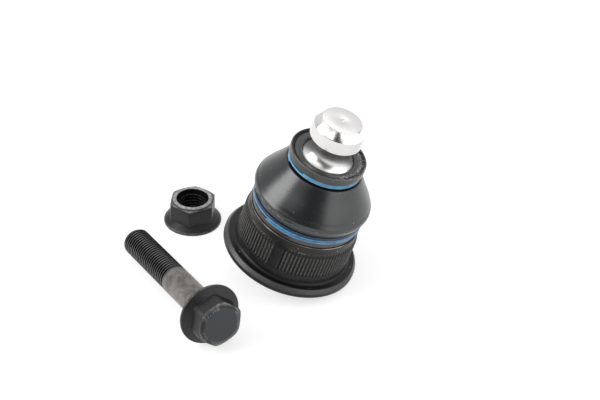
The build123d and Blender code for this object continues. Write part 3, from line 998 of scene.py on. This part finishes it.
def boltMaterial(s):
    shader, color, broad, fine = fastenerShader("boltSteel", boltPlace)
    z, radius = shader.z, shader.radius
    # the bare shank
    shank = shader.band(z, 0.3, s["shankLength"] - 0.5, 0.3)
    shank = shank * (1 - shader.step(radius, s["shankRadius"] + 0.13, s["shankRadius"] + 0.43))
    stain = shader.patches(0.36, 0.64, 0.3, 4, 0.65)
    steel = shader.mix(stain, s["darkSteel"], s["paleSteel"])
    darkSpots = shader.patches(0.60, 0.70, 2.2, 3, 0.7)
    steel = shader.mix(darkSpots * 0.5, steel, s["darkSpots"])
    brightSpots = shader.patches(0.68, 0.72, 1.4, 2, 0.7)
    steel = shader.mix(brightSpots * 0.6, steel, s["brightSpots"])
    color = shader.mix(shank, color, steel)
    # black roots, and crests a little lighter all round and much lighter on the side that faces the left lamp,
    # which is painted highlight
    thread = shader.step(z, s["shankLength"] - 0.9, s["shankLength"] + 0.1)
    root = thread * (1 - shader.step(radius, s["threadRadius"] - 0.65, s["threadRadius"] - 0.27))
    # painted highlight: crests on the left lamp's side are painted lighter
    side = (boltPlace.to_3x3().transposed() @ Vector(s["paintedLightSide"])).normalized()
    paintedLit = shader.step(shader.x * side.x + shader.y * side.y, -0.5, 4.0)
    crest = thread * shader.step(radius, s["threadRadius"] - 0.21, s["threadRadius"] - 0.03)
    crest = crest * (0.25 + paintedLit * 0.75)
    color = shader.mix(root * 0.9, color, fastener["recessBlack"])
    color = shader.mix(crest * (0.5 + fine * 0.5), color, s["crest"])
    # the head's face, its edges and the rim of the flange
    top = -s["headHeight"]
    face = 1 - shader.step(z, top + 0.05, top + 0.2)
    color = shader.mix(face * 0.6, color, s["face"])
    flats = fastener["acrossFlats"] / 2
    headEdge = shader.band(z, top + 0.2, top + 1.05, 0.15) * shader.step(radius, flats - 0.5, flats)
    worn = shader.patches(0.42, 0.66, 0.55, 4, 0.7)
    color = shader.mix(headEdge * (0.3 + worn * 0.6), color, s["headEdge"])
    chamfer = shader.band(z, top + 0.04, top + 1.0, 0.06)
    chamfer = chamfer * shader.step(radius, s["faceRadius"] - 0.05, s["faceRadius"] + 0.15)
    scuffs = shader.patches(0.46, 0.62, 2.2, 4, 0.75) * shader.patches(0.42, 0.58, 0.2, 1)
    color = shader.mix(chamfer * scuffs * 0.6, color, s["scuffs"])
    rim = shader.band(z, -s["flangeRim"] - 0.1, 0.2, 0.1)
    rim = rim * shader.step(radius, s["flangeRadius"] - 0.35, s["flangeRadius"] - 0.1)
    color = shader.mix(rim * (0.2 + worn * 0.6), color, fastener["flangeEdge"])
    rough = s["roughness"] + broad * 0.1 + fine * 0.1 - shank * 0.04 - thread * 0.1
    metallic = fastener["metallic"] + shank * 0.3 + thread * 0.4
    return shader.finish(color, rough, fine, s["bump"], Metallic=metallic)


bolt = makeBolt(boltValues)
boltSteel = boltMaterial(boltValues)
finishPiece(bolt, boltPlace, "bolt", boltSteel, "pinch_bolt", fastener["smoothAngle"])
print("stage: bolt made")

nutValues = {
    "height": placeHeights["nut"],
    "flangeRadius": 10.25,
    "flangeRim": 0.9,
    "flangeRise": 2.7,
    "cornerRound": 0.8,
    "faceRadius": 6.6,
    "chamferAngle": 22.0,
    "boreRadius": 4.32,
    "threadOuter": 5.05,
    "mouthRadius": 5.85,
    "mouthInset": 0.01,  # the mouths' rod is this much thinner than the bore
    "crest": (0.16, 0.16, 0.155),
    "topRing": (0.40, 0.398, 0.395),
    "topEdge": (0.24, 0.238, 0.235),
    "roughness": 0.28,
    "bump": (0.22, 0.00005),
}


def makeNut(s):
    flats, over = fastener["acrossFlats"] / 2, fastener["over"]
    neck = s["flangeRise"] + fastener["overlap"]
    flangeOutline = [
        (0, 0),
        (s["flangeRadius"], 0, fastener["footRound"]),
        (s["flangeRadius"], s["flangeRim"], fastener["rimRound"]),
        (flats - fastener["flangeMeet"], s["flangeRise"], fastener["meetRound"]),
        (flats - fastener["overlap"], neck),
        (0, neck),
    ]
    nut = turned("pinch_nut_body", flangeOutline, fastener["flangeSteps"], fastener["stepAngle"])
    combine(nut, makeHexagon("nut_hexagon", s, s["height"]), "UNION")
    depth = s["threadOuter"] - s["boreRadius"]
    rod = makeThreadRod("nut_thread", s["threadOuter"], depth, -over, s["height"] + over)
    sink = s["mouthRadius"] - s["boreRadius"]
    core = s["boreRadius"] - s["mouthInset"]
    mouthOutline = [
        (0, -over),
        (s["mouthRadius"] + over, -over),
        (s["mouthRadius"], 0),
        (core, sink),
        (core, s["height"] - sink),
        (s["mouthRadius"], s["height"]),
        (s["mouthRadius"] + over, s["height"] + over),
        (0, s["height"] + over),
    ]
    combine(rod, turned("nut_mouths", mouthOutline, fastener["flangeSteps"]), "UNION")
    combine(nut, rod, "DIFFERENCE")
    return nut


def nutMaterial(s):
    shader, color, broad, fine = fastenerShader("nutSteel", nutPlace)
    z, radius = shader.z, shader.radius
    # painted shade: the bore and both mouths are painted near-black, with metallic raised so they stay dark
    bore = 1 - shader.step(radius, s["mouthRadius"] - 0.15, s["mouthRadius"])
    color = shader.mix(bore * 0.92, color, fastener["recessBlack"])
    crest = 1 - shader.step(radius, s["boreRadius"] + 0.07, s["boreRadius"] + 0.23)
    color = shader.mix(crest * shader.step(fine, 0.4, 0.6) * 0.5, color, s["crest"])
    worn = shader.patches(0.42, 0.62, 0.9, 4, 0.7)
    topRing = shader.step(z, s["height"] - 0.3, s["height"] - 0.1) * (1 - bore)
    color = shader.mix(topRing * (0.5 + worn * 0.5), color, s["topRing"])
    flats = fastener["acrossFlats"] / 2
    topEdge = shader.band(z, s["height"] - 0.85, s["height"] - 0.2, 0.12)
    topEdge = topEdge * shader.step(radius, flats - 0.1, flats + 0.2)
    color = shader.mix(topEdge * (0.3 + worn * 0.6), color, s["topEdge"])
    rim = shader.band(z, 0.2, s["flangeRim"] + 0.4, 0.2)
    rim = rim * shader.step(radius, s["flangeRadius"] - 0.45, s["flangeRadius"] - 0.15)
    color = shader.mix(rim * (0.2 + worn * 0.6), color, fastener["flangeEdge"])
    rough = s["roughness"] + broad * 0.1 + fine * 0.1 + bore * 0.3
    metallic = fastener["metallic"] + bore * 0.6
    return shader.finish(color, rough, fine, s["bump"], Metallic=metallic)


nut = makeNut(nutValues)
nutSteel = nutMaterial(nutValues)
finishPiece(nut, nutPlace, "nut", nutSteel, "pinch_nut", fastener["smoothAngle"])
print("stage: nut made")

# the four pieces inside stay as packed and only get a finish
innerBump = (0.2, 0.00004)
bearingPlastic = {
    "dark": (0.72, 0.69, 0.60),
    "pale": (0.82, 0.8, 0.72),
    "metallic": 0.0,
    "roughness": 0.4,
}
innerValues = {
    "closing_cover": {
        "look": "coverSteel",
        "dark": (0.030, 0.029, 0.028),
        "pale": (0.055, 0.053, 0.05),
        "metallic": 0.5,
        "roughness": 0.42,
    },
    "preload_spring": {
        "look": "springSteel",
        "dark": (0.25, 0.24, 0.23),
        "pale": (0.4, 0.39, 0.37),
        "metallic": 1.0,
        "roughness": 0.35,
    },
    "lower_bearing_cup": {"look": "bearingPlastic", **bearingPlastic},
    "upper_bearing_ring": {"look": "bearingPlasticUpper", **bearingPlastic},
}


def innerMaterial(s):
    shader = Shader(s["look"], jointPlace, Metallic=s["metallic"])
    broad = shader.noise(0.3)
    fine = shader.noise(3)
    color = shader.mix(broad, s["dark"], s["pale"])
    return shader.finish(color, s["roughness"] + fine * 0.12, fine, innerBump)


for nodeName, values in innerValues.items():
    node = frame["nodes"][nodeName]
    node.data.materials.clear()
    node.data.materials.append(innerMaterial(values))
print("stage: packed pieces finished")

# sizes and places in the studio are in metres
studio = {
    "floorSize": 40,
    "floorColor": (0.46, 0.46, 0.46),
    "floorRoughness": 0.9,
    "floorSheen": 0.1,
    "cameraFill": 0.66,  # the floor's own glow, as the camera, metal and glass see it
    "roomLight": 0.10,
    "backLight": 0.66,
    "backRise": (-0.1, 0.7),
    "overheadLight": 0.62,
    "overheadRise": (0.52, 0.70),
    "lampTarget": (0, 0, 0.02),
    # name, azimuth, elevation, distance, width, height, power; azimuth 0 is the camera's side, 90 the right
    "lamps": [
        ("leftSoftbox", -77, 32, 0.7, 0.44, 0.5, 3.7),
        ("rightSoftbox", 66, 16, 0.8, 1.0, 0.45, 2.7),
        ("leftFill", -23, 42, 0.75, 0.40, 0.22, 0.40),
        ("rightFill", 40, 38, 0.75, 0.32, 0.22, 0.34),
    ],
    "lens": 114.851,
    "sensorWidth": 36,
    "pitch": 34.93844,  # degrees below level
    "roll": 1.80981,
    "clip": (0.01, 20),
    "cameraStep": (0.000155, -0.532407, 0.382878),  # from the ball's centre
    "cardSize": (0.44, 0.36),
    "cardPlace": 1.2,  # how far along the way to the camera the card stands
    "cardColor": (0.01, 0.01, 0.01),
    "cardRoughness": 1.0,
}
cameraStep = Vector(studio["cameraStep"])


def plainMaterial(name, color, roughness):
    material = bpy.data.materials.new(name)
    material.use_nodes = True
    surface = material.node_tree.nodes["Principled BSDF"]
    surface.inputs["Base Color"].default_value = (*color, 1)
    surface.inputs["Roughness"].default_value = roughness
    return material


def makeFloor(s):
    clearSelection()
    bpy.ops.mesh.primitive_plane_add(size=s["floorSize"], location=(0, 0, 0))
    floor = bpy.context.active_object
    floor.name = "floor"
    material = plainMaterial("paleFloor", s["floorColor"], s["floorRoughness"])
    nodes = Nodes(material.node_tree)
    surface = nodes.tree.nodes["Principled BSDF"]
    surface.inputs["Specular IOR Level"].default_value = s["floorSheen"]
    seen = nodes.node("LightPath", out="Is Camera Ray")
    for ray in ("Is Glossy Ray", "Is Transmission Ray"):
        seen = seen.maths("MAXIMUM", seen, nodes.node("LightPath", out=ray))
    glow = nodes.node("Emission", None, {"Strength": seen * s["cameraFill"]})
    both = nodes.node("AddShader", None, {0: Value(nodes, surface.outputs[0]), 1: glow})
    nodes.feed(nodes.tree.nodes["Material Output"].inputs["Surface"], both)
    floor.data.materials.append(material)


def makeWorld(s):
    # a soft room: bright behind the object and overhead, dim on the camera's side
    world = bpy.data.worlds.new("studioWorld")
    bpy.context.scene.world = world
    world.use_nodes = True
    nodes = Nodes(world.node_tree)
    direction = nodes.node("TexCoord", out="Generated")
    backwards, upwards = (nodes.node("SeparateXYZ", None, {0: direction}, axis) for axis in "YZ")
    level = nodes.step(backwards, *s["backRise"]) * s["backLight"]
    level = level + nodes.step(upwards, *s["overheadRise"]) * s["overheadLight"] + s["roomLight"]
    background = nodes.tree.nodes["Background"]
    nodes.feed(background.inputs["Strength"], level)
    nodes.feed(background.inputs["Color"], (1, 1, 1, 1))


def makeSoftbox(name, azimuth, elevation, distance, width, height, power):
    a, e = math.radians(azimuth), math.radians(elevation)
    away = Vector((math.sin(a) * math.cos(e), -math.cos(a) * math.cos(e), math.sin(e)))
    data = bpy.data.lights.new(name, "AREA")
    data.shape = "RECTANGLE"
    data.size, data.size_y = width, height
    data.energy = power
    lamp = bpy.data.objects.new(name, data)
    bpy.context.scene.collection.objects.link(lamp)
    lamp.location = Vector(studio["lampTarget"]) + away * distance
    lamp.rotation_mode = "QUATERNION"
    lamp.rotation_quaternion = (-away).to_track_quat("-Z", "Y")
    lamp.visible_camera = False


def makeCamera(s):
    camera = bpy.data.cameras.new("camera")
    camera.lens = s["lens"]
    camera.sensor_width = s["sensorWidth"]
    camera.sensor_fit = "HORIZONTAL"
    camera.clip_start, camera.clip_end = s["clip"]
    pitch, roll = math.radians(s["pitch"]), math.radians(s["roll"])
    forward = Vector((0, math.cos(pitch), -math.sin(pitch)))
    right = Vector((1, 0, 0))
    above = right.cross(forward)
    xAxis = math.cos(roll) * right + math.sin(roll) * above
    yAxis = -math.sin(roll) * right + math.cos(roll) * above
    place = Matrix((xAxis, yAxis, -forward)).transposed().to_4x4()
    place.translation = ballCentre + cameraStep
    holder = bpy.data.objects.new("camera", camera)
    bpy.context.scene.collection.objects.link(holder)
    holder.matrix_world = place
    bpy.context.scene.camera = holder


def makeCameraCard(s):
    # the dark shape of the camera and its stand, which bright metal shows
    clearSelection()
    bpy.ops.mesh.primitive_plane_add(size=1)
    card = bpy.context.active_object
    card.name = "cameraCard"
    card.scale = (*s["cardSize"], 1)
    card.rotation_mode = "QUATERNION"
    card.rotation_quaternion = cameraStep.to_track_quat("Z", "Y")
    card.location = ballCentre + cameraStep * s["cardPlace"]
    card.data.materials.append(plainMaterial("darkCard", s["cardColor"], s["cardRoughness"]))


makeFloor(studio)
makeWorld(studio)
makeCameraCard(studio)
for lamp in studio["lamps"]:
    makeSoftbox(*lamp)
makeCamera(studio)
bpy.context.scene.view_settings.view_transform = "Standard"
print("stage: studio ready")
